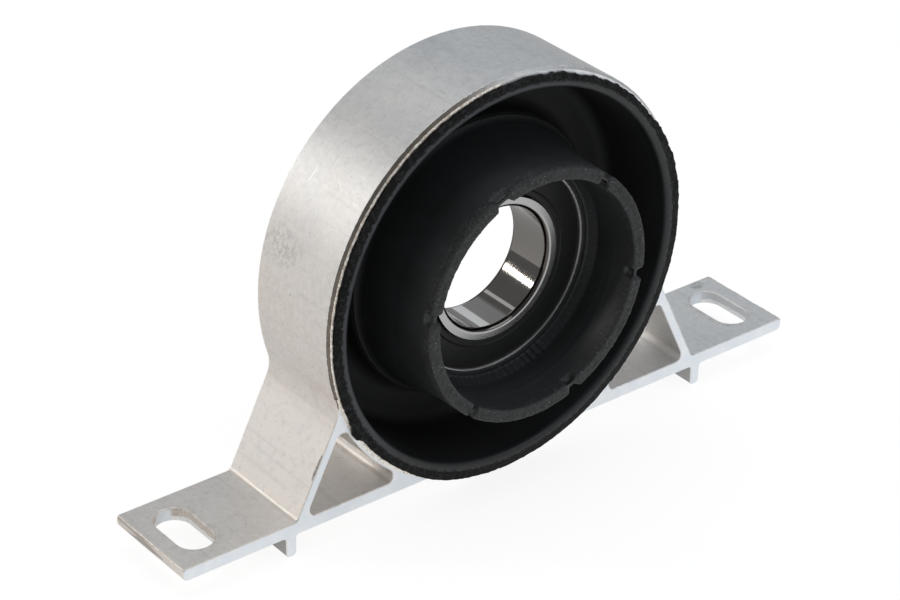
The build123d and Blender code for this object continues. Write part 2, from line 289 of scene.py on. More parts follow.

# %% [markdown]
# ## Marks with a place of their own
#
# Noise puts marks anywhere. The part also has some that belong to one spot: scratches and a
# scuff on the ring, a chip on the left strut, and a smudge on the right foot. Each is a mask made
# from the distance to its spot. Some faces get painted light and painted shade in their colour:
# the ring's warm left and cool top, the lighter struts and openings, and the darker ribs. They
# are found by where they are and which way they face.

# %% Scratches and a scuff on the ring
arc = z.maths("ARCTAN2", z, x) * (ring_radius * MM)
ring_marks = [
    # angle, y in mm, lean from round the ring in degrees, half length and half width in mm
    (142.6, 8.2, 5.0, 1.9, 0.17),
    (141.6, -0.8, -58.0, 1.7, 0.15),
    (128.4, -4.3, 0.0, 0.28, 0.28),
    (120.3, -9.3, 35.0, 0.7, 0.16),
    (137.0, 4.0, 20.0, 0.8, 0.12),
    (108.0, 1.5, 70.0, 1.0, 0.10),
    (96.0, -3.0, 15.0, 1.3, 0.10),
    (152.0, -4.0, 60.0, 0.9, 0.12),
    (169.0, 3.0, 30.0, 0.7, 0.13),
]
ring_scratches = 0.0
for angle, at_y, lean, half_length, half_width in ring_marks:
    over = arc - radians(angle) * ring_radius * MM
    past = y - at_y * MM
    lengthwise = (over * cos(radians(lean)) + past * sin(radians(lean))).size()
    crosswise = (past * cos(radians(lean)) - over * sin(radians(lean))).size()
    mark = lengthwise.below(half_length * MM, 0.0002)
    mark = mark * crosswise.below(half_width * MM, 0.00008)
    ring_scratches = mark + ring_scratches
on_ring = squared.nearer_than(ring_radius + 0.3) * squared.farther_than(ring_radius - 0.4)
ring_scratches = ring_scratches * on_ring * (1 - sawn)
scuff_over = arc - radians(162.5) * ring_radius * MM
scuff_past = y - 0.0085
scuff = (scuff_over * scuff_over + scuff_past * scuff_past * 0.6) ** 0.5
scuff = scuff.below(0.0070, 0.0060) * on_ring
scuff = scuff * aluminium.noise(spot, 900.0, detail=3.0).above(0.44, 0.12)
print("ring marks", len(ring_marks))

# %% Painted light and shade on some faces, a chip and a smudge
# Painted light: the ring's left side is painted warmer, standing in for the warm lamp there.
warm_light_side = x.below(0.0, 0.045) * z.below(0.034, 0.035)
# Painted highlight: the struts' sides are painted lighter and warmer, standing in for the light
# they catch.
strut_side = facing_x.size().above(0.6, 0.2) * z.above(foot_plane - 0.0002, 0.0010)
strut_side = strut_side * z.below(-0.0190, 0.0060) * (1 - on_ring)
foot_top_face = facing_z.above(0.9, 0.08) * z.below(foot_plane + 0.0003, 0.0004)
# Painted light: the ring's top is painted cooler and darker, standing in for the cool light from
# above.
cool_light_top = on_ring * z.above(0.040, 0.012) * x.above(-0.022, 0.020)
# Painted light: the floor of each opening is painted lighter, and its back left corner gets a
# painted golden highlight.
opening_floor = foot_top_face * x.size().below(0.0570, 0.0010)
golden_highlight = opening_floor * x.below(-0.036, 0.010) * y.above(-0.002, 0.010)
# Painted shade: the ribs' sides under the feet are painted dark grey, standing in for the shade
# there.
rib_side_shade = facing_x.size().above(0.8, 0.1) * z.below(foot_underside * MM - 0.0001, 0.0003)
rib_side_shade = rib_side_shade * x.size().below(0.075, 0.005)
chipped = strut_side * x.below(-0.040, 0.002) * z.below(-0.0273, 0.0006)
chipped = chipped * z.above(-0.0335, 0.0010) * crust.above(0.36, 0.10)
chipped = chipped * (y + crust_depth * 0.0012).below(-0.0096, 0.0003)
smudge_x = x - 0.083
smudge_y = y - 0.0132
smudge = (smudge_x * smudge_x + smudge_y * smudge_y * 1.6) ** 0.5
smudge = smudge.below(0.0026, 0.0018) * foot_top_face * crust_depth.above(0.36, 0.16)
print("aluminium with marked faces", len(aluminium.tree.nodes))

# %% [markdown]
# ## The turned edge
#
# The ring's front edge is turned off at an angle. On the left that edge is painted dark brown,
# as painted shade for the dark reflection it shows at this angle, and the sawn face beside it is
# cream and grainy. The turned edge faces neither along the shaft nor straight away from it, and
# its mask looks for that.

# %% Turned edge of the ring, with painted shade in brown on the left
front_left = squared.farther_than(ring_radius - 2.8) * squared.nearer_than(ring_radius + 0.2)
front_left = front_left * x.below(0.004, 0.022)
turned = facing_y.size().above(0.45, 0.1) * facing_y.size().below(0.9, 0.1) * front_left
turned = turned * y.below(-0.0102, 0.0002) * squared.farther_than(ring_radius - 1.8, 0.00002)
edge_face = sawn * y.below(-0.0108, 0.0002) * front_left
saw_end = facing_x.size().above(0.55, 0.2) * x.size().above(0.0868, 0.0006)
end_bands = aluminium.noise(aluminium.stretched(spot, 0.0, 0.08, 1.0), 900.0, detail=2.0)
print("with the turned edge", len(aluminium.tree.nodes))

# %% [markdown]
# ## Layers of colour
#
# The skin's colour is a stack. A cloudy base lies at the bottom, then come the faces with
# painted light and painted shade, then mottling from coarse to fine, and the single marks lie on
# top. The list has them in that order.

# %% Aluminium of the housing
foot_colour = aluminium.blend(right_side, grey(0.93, 0.01), grey(0.88, -0.04))
opening_light_colour = aluminium.blend(golden_highlight, grey(1.0, -0.01), grey(1.0, 0.11))
banded = aluminium.blend(end_bands.above(0.42, 0.12), grey(0.40, 0.10), grey(0.80, 0.07))
# Painted shade: the dark brown of the turned edge stands in for the dark reflection it shows at
# this angle.
brown = aluminium.blend(fine_mottle, grey(0.07, 0.16), grey(0.22, 0.19))
stained = aluminium.blend(crust.above(0.42, 0.2), grey(0.34, 0.10), grey(0.74, 0.07))
bright_marks = flecks.maths("MAXIMUM", flecks * 0.7, ring_scratches * 0.95)
skin = aluminium.layers(
    aluminium.blend(clouds.above(0.32, 0.34), grey(0.80, -0.004), grey(0.87, 0.012)),
    (warm_light_side * (0.6 + 0.4 * clouds), grey(0.81, 0.085)),
    (strut_side * 0.7, grey(0.96, 0.040)),
    (foot_top_face * 0.6, foot_colour),
    (cool_light_top * 0.8, grey(0.76, -0.035)),
    (opening_floor * 0.85, opening_light_colour),
    (mottle.above(0.48, 0.26) * 0.25, grey(0.93, 0.030)),
    (mottle.below(0.44, 0.14) * 0.12, grey(0.60, -0.005)),
    (fine_mottle.above(0.50, 0.16) * 0.24, grey(0.98, 0.010)),
    (fine_mottle.below(0.46, 0.14) * 0.16, grey(0.52, 0.015)),
    (grain.below(0.44, 0.12) * 0.22, grey(0.48, 0.02)),
    (grain.above(0.56, 0.12) * 0.30, grey(1.0, 0.01)),
    (die_lines.below(0.44, 0.10) * 0.16, grey(0.60, 0.03)),
    (scuff * 0.35, grey(0.36, 0.0)),
    (saw_end * 0.75, banded),
    (turned * 0.95, brown),
    (rubs * 0.5, grey(0.97, 0.0)),
    (pits * 0.75, grey(0.20, 0.12)),
    (nicks * 0.5, grey(0.98, 0.02)),
    (dots * 0.8, grey(0.24, 0.16)),
    (bright_marks, grey(1.0, 0.02)),
    (stain * 0.5, stained),
    (rib_side_shade * 0.85, grey(0.34, 0.0)),
    (smudge * 0.6, grey(0.30, 0.02)),
    (chipped * 0.8, grey(0.10, 0.08)),
    (in_slot, slot_wall),
)
# Painted light: the slight blue of the sawn faces stands in for the cool light on them.
cut = aluminium.layers(
    aluminium.blend(mottle.above(0.38, 0.30), grey(0.91, -0.050), grey(0.97, -0.025)),
    (grain.below(0.36, 0.10) * 0.35, grey(0.62, -0.03)),
    (edge_face, aluminium.blend(grain.above(0.36, 0.12), grey(0.55, 0.14), grey(0.97, 0.07))),
)
aluminium.wear(
    Base_Color=aluminium.blend(sawn, skin, cut),
    Roughness=0.42 + 0.10 * clouds + 0.07 * mottle + 0.10 * pits - 0.12 * scratches + 0.2 * stain,
)
skin_relief = 0.45 * die_lines + 0.5 * wide_lines + 0.5 * scratches - 0.7 * pits
skin_relief = skin_relief - 0.3 * nicks + 0.25 * mottle
skin_relief = skin_relief + 0.5 * fine_mottle + 0.35 * grain - 0.6 * dots
aluminium.relief(
    (1 - sawn) * skin_relief + sawn * 0.7 * grain + 6.0 * in_slot * crust + 1.2 * stain * crust,
    0.00002,
)
print("aluminium nodes", len(aluminium.tree.nodes))

# %% [markdown]
# ## Torn metal
#
# A burr is the same metal, bent over and torn, and its small facets catch the light one by one.
# Three kinds are needed: bright for the struts, cream for the ring's turned edge and the ends of
# the feet, and nearly white for the broken lines along the front, whose white, barely metallic
# colour is a painted highlight.

# %% Bright bent metal of the burrs
def torn_metal(name, metallic, low, high):
    """Metal that bent and tore, in small bright and dark facets."""
    burr = Finish(name, Metallic=metallic, Roughness=0.3)
    facets = burr.noise(burr.place(), 1100.0, detail=3.0, roughness=0.7)
    burr.wear(
        Base_Color=burr.blend(facets.above(0.40, 0.16), low, high),
        Roughness=0.34 + 0.25 * facets,
    )
    burr.relief(facets, 0.00006)
    return burr


burr_metal = torn_metal("bright_burr", 0.85, grey(0.70, 0.03), grey(0.98, 0.01))
cream_metal = torn_metal("cream_burr", 0.85, grey(0.60, 0.14), grey(0.98, 0.07))
# Painted highlight: these burrs are real, but their near-white, barely metallic colour keeps them
# bright as the highlight they catch.
highlight_white_metal = torn_metal("highlight_white_burr", 0.25, grey(0.92, 0.0), grey(1.0, 0.0))
print("burr nodes", len(burr_metal.tree.nodes))

# %% [markdown]
# ## Moulded rubber
#
# Rubber is nearly black, so its shape shows only by its sheen. The moulded skin is fairly
# smooth, with faint cloudy bloom. Where the mould halves met, and on the collar's end, the
# surface is torn and rough, and grey dust and small pale crumbs sit on it. The mesh marks
# those places with a value of its own, which the material reads. A band on the rim and the
# lower inside of the collar are painted paler, as painted sheen and painted light, and the
# pocket is painted darker, as painted shade, and is duller.

# %% Rubber of the mount
# Distances from the shaft, in metres, where parts of the rubber begin or end
collar_inside = 0.0288
pocket_start = 0.0325
pocket_end = 0.0463
band_start = 0.0459
tear_radius = 0.04745

rubber = Finish("moulded_rubber", Roughness=0.45, Specular_IOR_Level=0.45)
spot = rubber.place()
x, y, z = rubber.parts(spot)
squared = x * x + z * z
from_shaft = squared ** 0.5
torn = rubber.node("ShaderNodeAttribute", {"attribute_name": "torn"}, out="Fac")
bloom = rubber.noise(spot, 60.0, detail=4.0)
streaks = rubber.noise(rubber.stretched(spot, 1.0, 0.12, 1.0), 260.0, detail=3.0)
fine = rubber.noise(spot, 1200.0, detail=4.0, roughness=0.65)
crumb_field = rubber.noise(spot, 2600.0, detail=1.0).above(0.655, 0.04)
crumbs = crumb_field * rubber.noise(spot, 230.0).above(0.44, 0.10)
crumbs = crumbs * squared.nearer_than(34.0, 0.0001)
on_rim = squared.farther_than(40.0, 0.0001)
tear = rubber.noise(spot, 800.0, detail=4.0, roughness=0.65)
# Painted sheen: a smooth band on the rim's face is painted paler and bluer, standing in for its
# sheen.
smooth_sheen_band = on_rim * from_shaft.above(band_start, 0.0002) * y.below(-0.0118, 0.0003)
smooth_sheen_band = smooth_sheen_band * (x - z * 0.6).below(-0.006, 0.022)
# Painted shade: the deep pocket is painted darker, standing in for the shade in the recess; it is
# also rougher.
in_pocket = from_shaft.above(pocket_start, 0.0020) * from_shaft.below(pocket_end, 0.0006)
in_pocket = in_pocket * y.above(-0.0115, 0.004)
# Painted light: the lower inside of the collar faces up and is painted paler, standing in for the
# light it catches.
inside_collar = from_shaft.below(collar_inside, 0.0004) * y.below(-0.0085, 0.002)
inside_collar = inside_collar * z.below(0.004, 0.012)
tear_line = (from_shaft + (tear - 0.5) * 0.0026).above(tear_radius, 0.00025)
tear_line = tear_line * on_rim * y.below(-0.0106, 0.0002)
circles = rubber.node("ShaderNodeCombineXYZ", sockets={0: from_shaft, 1: y, 2: 0.0})
tool_rings = rubber.noise(circles, 1100.0, detail=2.0)
# This sheen colour is painted sheen; its faint rings follow the tool's real rings.
sheen = rubber.blend(tool_rings.above(0.45, 0.2), grey(0.036, -0.05), grey(0.056, -0.07))
dusty = rubber.blend(fine.above(0.40, 0.25), grey(0.018, -0.03), grey(0.046, -0.03))
shards = rubber.blend(tear.above(0.48, 0.12), grey(0.003, 0.0), grey(0.022, -0.05))
surface = rubber.layers(
    rubber.blend(bloom.above(0.3, 0.45), grey(0.022, -0.05), grey(0.031, -0.07)),
    (streaks.above(0.55, 0.2) * 0.4, grey(0.040, -0.07)),
    (smooth_sheen_band, grey(0.050, -0.12)),
    (inside_collar * 0.8, sheen),
    (in_pocket * 0.6, grey(0.014, -0.04)),
    (torn * (1 - on_rim), dusty),
    (tear_line, shards),
    (crumbs * (0.04 + 0.70 * torn), grey(0.34, -0.02)),
)
dullness = 0.36 + 0.16 * bloom + 0.06 * streaks + 0.16 * torn
rubber.wear(Base_Color=surface, Roughness=dullness + 0.3 * tear_line + 0.22 * in_pocket)
fine_relief = (0.12 + 0.6 * torn) * fine + 0.10 * tool_rings + 0.3 * torn * crumbs
rubber.relief(fine_relief + 0.10 * streaks - 1.2 * tear_line * tear, 0.00008)
print("rubber nodes", len(rubber.tree.nodes))

# %% [markdown]
# ## Ground bearing steel
#
# The rings are ground while they turn, so their finest marks are circles about the shaft. The
# distance from the shaft and the place along it make those circles: noise that depends on
# these two alone has no change around the ring. The flat end faces of the rings are lighter
# than the rest, their rounded edges are painted darker as painted shade, and low in the bore a
# lighter patch is a painted highlight. The inner ring is painted much darker than bare steel,
# as painted shade for the dark room that its bore mirrors.

# %% Steel of the bearing
def ground_steel(
    name, level, roughness, pitch=2600.0, warmth=0.0, relief=0.000004, faces=1.0, bore_highlight=1.0
):
    """Steel ground round the Y axis; faces says how much lighter the flat faces are, and
    bore_highlight how much lighter the painted highlight low in the bore is.
    """
    steel = Finish(name, Metallic=1.0, Roughness=roughness)
    spot = steel.place()
    x, y, z = steel.parts(spot)
    radius = (x * x + z * z) ** 0.5
    rings = steel.node("ShaderNodeCombineXYZ", sockets={0: radius, 1: y, 2: 0.0})
    marks = steel.noise(rings, pitch, detail=2.0)
    clouds = steel.noise(spot, 90.0, detail=3.0)
    specks = steel.specks(spot, 500.0, 0.05)
    base = steel.blend(clouds.above(0.35, 0.3), grey(level * 0.93, warmth), grey(level, warmth))
    if bore_highlight != 1.0:
        around = z.maths("ARCTAN2", z, x)
        # Painted highlight: a lighter patch low in the bore stands in for the lamp light it mirrors
        # there.
        painted_highlight = around.above(-2.0, 0.15) * around.below(-1.22, 0.10) * (0.6 + 0.8 * clouds)
        base = steel.blend(painted_highlight, base, grey(level * bore_highlight, warmth * 0.4))
    facing_out = steel.facing()[1].size()
    flat = facing_out.above(0.90, 0.08)
    if faces != 1.0:
        # Painted shade: the rounded edges are painted darker and browner, standing in for the dark
        # reflection they show.
        edge = facing_out.above(0.06, 0.10) * facing_out.below(0.96, 0.12)
        base = steel.blend(edge * 0.9, base, grey(level * 0.30, warmth * 2))
        base = steel.blend(flat, base, grey(level * faces))
    steel.wear(
        Base_Color=steel.blend(specks * 0.5, base, grey(level * 0.5, 0.05)),
        Roughness=roughness * (0.75 + 0.35 * clouds + 0.3 * marks) + 0.22 * flat,
    )
    steel.relief(marks, relief)
    return steel


# Painted shade: the inner ring's steel is painted far darker than bare steel, standing in for the
# dark room its bore mirrors; faces lifts its flat faces back to steel grey.
race_steel = ground_steel("ground_race_steel", 0.23, 0.05, warmth=0.06, faces=2.1, bore_highlight=2.5)
outer_steel = ground_steel("ground_outer_race_steel", 0.62, 0.38, faces=1.35)
ball_steel = ground_steel("polished_ball_steel", 0.72, 0.07, 300.0, relief=0.000001)
sheet_steel = ground_steel("pressed_sheet_steel", 0.52, 0.34, 700.0, warmth=0.02, relief=0.00001)
print("steels", race_steel.material.name, ball_steel.material.name, sheet_steel.material.name)

# %% [markdown]
# ## Seal rubber
#
# The seals are moulded against polished steel, so they are smoother than the mount, with
# faint rings from the tool and a little dust.

# %% Rubber of the seals
seal_rubber = Finish("smooth_seal_rubber", Roughness=0.4, Specular_IOR_Level=0.3)
spot = seal_rubber.place()
x, y, z = seal_rubber.parts(spot)
radius = (x * x + z * z) ** 0.5
circles = seal_rubber.node("ShaderNodeCombineXYZ", sockets={0: radius, 1: 0.0, 2: 0.0})
rings = seal_rubber.noise(circles, 2200.0, detail=1.0)
dust = seal_rubber.noise(spot, 1300.0, detail=2.0).above(0.62, 0.08)
seal_rubber.wear(
    Base_Color=seal_rubber.blend(dust * 0.25, grey(0.019, -0.03), grey(0.09)),
    Roughness=0.36 + 0.12 * rings + 0.15 * dust,
)
seal_rubber.relief(rings, 0.00003)
print("seal nodes", len(seal_rubber.tree.nodes))

# %% [markdown]
# ## A finish for every piece
#
# Every piece but the rubber mount keeps its shape from CAD and only gets a material. The mount
# is drawn by a mesh of its own further on. Whatever else the table doesn't name is a ball.

# %% Give the CAD pieces their finishes
finishes = {
    "housing": aluminium, "mount_sleeve": sheet_steel, "outer_race": outer_steel,
    "inner_race": race_steel, "seal_front": seal_rubber, "seal_back": seal_rubber,
    "seal_plate_front": sheet_steel, "seal_plate_back": sheet_steel,
    "cage_front_half": sheet_steel, "cage_back_half": sheet_steel, "cage_rivets": sheet_steel,
}
for name, node in nodes.items():
    finish = finishes.get(name, ball_steel)
    node.data.materials.clear()
    node.data.materials.append(finish.material)
    print(name, "has", finish.material.name)

# %% [markdown]
# ## The moulded rubber
#
# The mount is a turned shape, so it starts as a cross-section swept round the shaft. Real
# rubber isn't that perfect: the flash on the rim is ragged and narrower on the left, and the
# collar's end has six notches. A sweep made point by point can do both, because each angle may
# have its own section. The section's corners follow those of the solid in CAD.

# %% Cross-section of the rubber
def rounded(corners, spacing):
    """Points (radius, y, torn) along a closed outline whose corners are rounded."""
    points = []
    count = len(corners)
    for k, (r, y, radius, torn) in enumerate(corners):
        here = np.array((r, y))
        before = np.array(corners[k - 1][:2]) - here
        after = np.array(corners[(k + 1) % count][:2]) - here
        if radius == 0:
            points.append((*here, torn))
            continue
        u = before / np.linalg.norm(before)
        v = after / np.linalg.norm(after)
        half = 0.5 * np.arccos(np.clip(u @ v, -1, 1))
        reach = radius / tan(half)
        centre = here + (u + v) / np.linalg.norm(u + v) * radius / sin(half)
        start = here + u * reach - centre
        end = here + v * reach - centre
        turn = atan2(start[0] * end[1] - start[1] * end[0], start @ end)
        steps = max(3, int(abs(turn) * radius / spacing) + 1)
        for s in range(steps + 1):
            a = turn * s / steps
            points.append((centre[0] + start[0] * cos(a) - start[1] * sin(a),
                           centre[1] + start[0] * sin(a) + start[1] * cos(a), torn))
    dense = []
    for k, point in enumerate(points):
        after = points[(k + 1) % len(points)]
        steps = max(1, round(hypot(after[0] - point[0], after[1] - point[1]) / spacing))
        for s in range(steps):
            dense.append([a + (b - a) * s / steps for a, b in zip(point, after)])
    return np.array(dense)


rubber_corners = [
    # distance from the shaft, y and corner radius in mm, and how torn the surface is there
    (27.5, -6.5, 0, 0), (25.35, -6.5, 0, 0), (25.35, -7.0, 0.15, 0.2), (26.6, -7.0, 0, 0.2),
    (27.9, -9.4, 1.0, 0.1), (27.9, -18.7, 0, 0), (27.9, -19.2, 0, 0.3), (27.9, -22.0, 0.5, 0.6),
    (29.45, -22.0, 0, 1),
    (31.0, -22.0, 0.4, 0.7), (31.1, -19.2, 0, 0.3), (31.12, -18.7, 0, 0), (31.5, -10.0, 12.0, 0),
    (33.2, 0.9, 2.4, 0), (34.6, 1.5, 0.9, 0), (34.9, 7.5, 3.0, 0), (44.6, 7.5, 3.0, 0),
    (45.9, -12.7, 1.3, 0), (47.45, -12.72, 0, 0.1), (47.75, -12.6, 0, 1), (49.3, -12.1, 0.4, 1),
    (49.3, -11.1, 0, 1),
    (47.3, -11.1, 0, 0), (47.3, 14.7, 0, 0), (45.5, 14.7, 0.5, 0.3), (44.0, 11.8, 3.0, 0),
    (36.0, 11.8, 3.0, 0), (31.3, 9.2, 3.0, 0), (27.0, 9.2, 0.5, 0.2), (27.0, 7.3, 0, 0),
    (28.3, 7.3, 0, 0), (28.3, -6.2, 0, 0), (29.8, -8.0, 0, 0), (29.8, -21.2, 0, 0),
    (29.0, -21.2, 0, 0), (29.0, -8.3, 0, 0),
]
section = rounded(rubber_corners, 0.4)
print("section points", len(section), "reach, mm", section.min(0).round(2), section.max(0).round(2))

# %% [markdown]
# ## Angles and unevenness
#
# The section is repeated at many angles. Half a degree between them is enough for most of the
# ring, but the notches have steep sides and get extra angles. What varies round the ring comes
# from short tables of values by angle, and from seeded noise that closes on itself.

# %% Angles, closer together beside the notches
collar_middle_radius = 29.45
collar_notches = [
    # angle, half width of neck and mouth, depth, how far in from inside and from outside
    (52.0, 0.8, 2.0, 3.0, 1.36, 0.75),
    (112.0, 1.2, 2.6, 2.0, 1.05, 1.15),
    (172.0, 0.6, 1.6, 2.2, 0.75, 0.9),
    (232.0, 0.35, 1.2, 2.6, 1.0, 0.6),
    (292.0, 0.6, 1.9, 2.4, 1.0, 0.95),
    (352.0, 0.5, 1.7, 3.0, 0.85, 1.2),
]
angles = set(np.round(np.arange(0, 360, 0.5), 3))
for middle, *shape in collar_notches:
    for offset in (0.2, 0.4, 0.6, 0.8, 0.95, 1.1, 1.3, 1.5, 1.7, 1.9, 2.1, 2.3, 2.5, 2.8):
        for side in (-1, 1):
            angles.add(round((middle + side * np.degrees(offset / collar_middle_radius)) % 360, 3))
angles = np.array(sorted(angles))
print("angles", len(angles))

# %% Shape functions round the ring
def along_ring(angle, table):
    """A value by angle from (angle, value) pairs that close on themselves."""
    at, values = zip(*table)
    return np.interp(angle % 360, at, values, period=360)


def ragged(angle, waves, seed):
    """Even, closed noise round the ring, about -1 to 1, with the given number of knots."""
    knots = np.random.default_rng(seed).uniform(-1, 1, waves)
    place = angle / 360 * waves
    low = np.floor(place).astype(int)
    part = place - low
    part = part * part * (3 - 2 * part)
    return knots[low % waves] * (1 - part) + knots[(low + 1) % waves] * part


def notch_share(angle, middle, neck, mouth):
    """1 across the neck of a notch, falling to 0 where the collar has its full wall again."""
    away = np.abs((angle - middle + 180) % 360 - 180)
    across = np.radians(away) * collar_middle_radius
    share = np.clip((mouth - across) / (mouth - neck), 0, 1)
    return share * share * (3 - 2 * share)


def torn_bits(angle, count, reach, seed):
    """A few narrow tongues of torn rubber at random places round the ring."""
    dice = np.random.default_rng(seed)
    tongues = np.zeros_like(angle)
    for middle in dice.uniform(0, 360, count):
        away = np.abs((angle - middle + 180) % 360 - 180)
        height = dice.uniform(0.3, 1) * reach
        half_width = dice.uniform(0.6, 1.6)
        tongues = np.maximum(tongues, height * np.clip(1 - away / half_width, 0, 1))
    return tongues


rim_edge = along_ring(angles, [
    # angle, and how far the flash reaches from the shaft in mm
    (0, 50.4), (16, 50.35), (22, 50.15), (30, 49.8), (36, 49.35), (48, 49.2), (56, 49.05),
    (66, 48.85), (84, 48.9), (102, 48.85), (114, 48.7), (130, 48.6), (138, 48.85), (160, 48.85),
    (174, 49.05), (190, 49.25), (204, 49.55), (208, 49.7), (209.2, 50.5), (211.5, 50.5),
    (213, 49.45), (222, 49.5), (230, 49.6), (236, 49.9), (244, 50.35), (250, 50.45), (340, 50.4)])
quiet = along_ring(angles, [
    (0, 0.35), (30, 0.9), (70, 0.9), (120, 0.8), (200, 0.7), (225, 0.7), (240, 0.3), (330, 0.25)])
rim_edge = rim_edge + quiet * (0.10 * ragged(angles, 100, 3) + 0.12 * ragged(angles, 300, 4))
rim_edge = rim_edge + quiet * (torn_bits(angles, 60, 0.35, 11) - torn_bits(angles, 70, 0.35, 12))
print("rim edge, mm", rim_edge.min().round(2), rim_edge.max().round(2))

# %% [markdown]
# ## Bending the sweep
#
# The section at every angle makes a grid of points. Each notch thins the collar's wall from
# both sides, the flash on the rim reaches as far as its table says, and the lip gets small
# ticks. Masks pick the points, so the rest of the grid stays where it is.

# %% Sweep the section and bend it to the real shape
collar_front = -22.0
rim_start = 46.6
rim_end = 49.3

radius = np.repeat(section[:, :1], len(angles), axis=1)
depth = np.repeat(section[:, 1:2], len(angles), axis=1)
torn = np.repeat(section[:, 2:3], len(angles), axis=1)

wall = radius - collar_middle_radius
round_sleeve = (radius > 28.95) & (radius < 29.85) & (depth > -21.5)
collar_wall = (depth < -18.6) & (np.abs(wall) < 2.2) & ~round_sleeve
for middle, neck, mouth, deep, from_inside, from_outside in collar_notches:
    share = notch_share(angles, middle, neck, mouth)
    share = share * np.clip((deep - (depth - collar_front)) / 0.5, 0, 1) * collar_wall
    inwards = np.where(wall < 0, from_inside, -from_outside)
    radius = radius + inwards * share * np.clip(np.abs(wall) / 1.4, 0, 1)
    torn = np.where(((np.abs(wall) > 1.0) & (share > 0.1)) | (share > 0.5), 0.0, torn)
    depth = np.where((depth < -21.3) & collar_wall, depth + 0.7 * share, depth)
flash = (depth < -11.0) & (radius > 45.8)
reach = np.clip((radius - rim_start) / (rim_end - rim_start), 0, 1)
radius = np.where(flash, radius + reach * (rim_edge - rim_end), radius)
calm = along_ring(angles, [(0, 0.5), (40, 1.0), (215, 1.0), (235, 0.4), (330, 0.35)])
uneven = calm * (0.12 * ragged(angles, 150, 5) + 0.12 * ragged(angles, 420, 6))
depth = np.where(flash & (depth < -11.6), depth + reach * uneven, depth)
print("grid", radius.shape)

# %% Ticks that the mould's ribs left on the lip's slope
tick_pitch = 3.5
tick_height = 0.24
tick_place = (angles + 1.0) / tick_pitch
from_tick = np.abs(tick_place - np.round(tick_place)) * tick_pitch
tick = np.clip(1.6 - from_tick / 0.42, 0, 1)
on_slope = (radius > 26.55) & (radius < 27.85) & (depth < -6.9) & (depth > -9.8)
tick = tick * along_ring(angles, [(0, 0.1), (215, 0.15), (240, 1.0), (295, 0.8), (325, 0.15)])
depth = np.where(on_slope, depth + tick_height * tick, depth)
radius = np.where(on_slope, radius + tick_height * tick, radius)
print("ticks", int(360 / tick_pitch))

# %% [markdown]
# ## From grid to mesh
#
# Neighbours in the grid become the corners of a face. Seeded noise then moves the torn points
# along their normals, which breaks up the flash and the collar's end.

# %% Turn a grid of radius and depth into a mesh
def swept_mesh(name, radius, depth, angles, torn, body, finish):
    """A closed sweep round the Y axis, with the torn value on each point."""
    turn = np.radians(angles)
    x = radius * np.cos(turn)
    z = radius * np.sin(turn)
    points = np.stack((x, depth, z), axis=-1).reshape(-1, 3) * MM
    rows, columns = radius.shape
    faces = []
    for i in range(rows):
        row = i * columns
        next_row = (i + 1) % rows * columns
        for j in range(columns):
            beside = (j + 1) % columns
            faces.append((row + j, next_row + j, next_row + beside, row + beside))
    mesh = bpy.data.meshes.new(name)
    mesh.from_pydata(points.tolist(), [], faces)
    mesh.update()
    mark = mesh.attributes.new("torn", "FLOAT", "POINT")
    mark.data.foreach_set("value", np.ascontiguousarray(torn.reshape(-1), dtype=np.float32))
    mesh.polygons.foreach_set("use_smooth", [True] * len(faces))
    piece = bpy.data.objects.new(name, mesh)
    bpy.context.scene.collection.objects.link(piece)
    mesh.materials.append(finish.material)
    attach(piece, body)
    return piece


def roughen(piece, size, amount, marks):
    """Moves points along their normals by seeded noise, more where marks are high."""
    mesh = piece.data
    count = len(mesh.vertices)
    marks = marks.reshape(-1)
    points = np.zeros(count * 3, np.float32)
    mesh.vertices.foreach_get("co", points)
    points = points.reshape(-1, 3)
    normals = np.zeros(count * 3, np.float32)
    mesh.vertex_normals.foreach_get("vector", normals)
    normals = normals.reshape(-1, 3)
    for k in np.flatnonzero(marks > 0.02):
        shift = noise.fractal(Vector(points[k] / size), 0.6, 2.0, 3)
        points[k] += normals[k] * (shift * amount * marks[k])
    mesh.vertices.foreach_set("co", points.reshape(-1))
    mesh.update()


mount_rubber = swept_mesh("mount_rubber", radius, depth, angles, torn, "mount", rubber)
roughen(mount_rubber, 0.9 * MM, 0.16 * MM, torn * np.where(flash, calm, 1.0))
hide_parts("rubber_mount")
print("rubber points", len(mount_rubber.data.vertices), "faces", len(mount_rubber.data.polygons))

# %% [markdown]
# ## Burrs on the sawn edges
#
# The saw and the lathe leave thin ragged beads of bent metal along the aluminium's edges. They
# are too small for the CAD model, yet they catch the light as broken white lines. Each is a
# thin tube along the edge whose thickness wanders, so that it thins out and comes back.

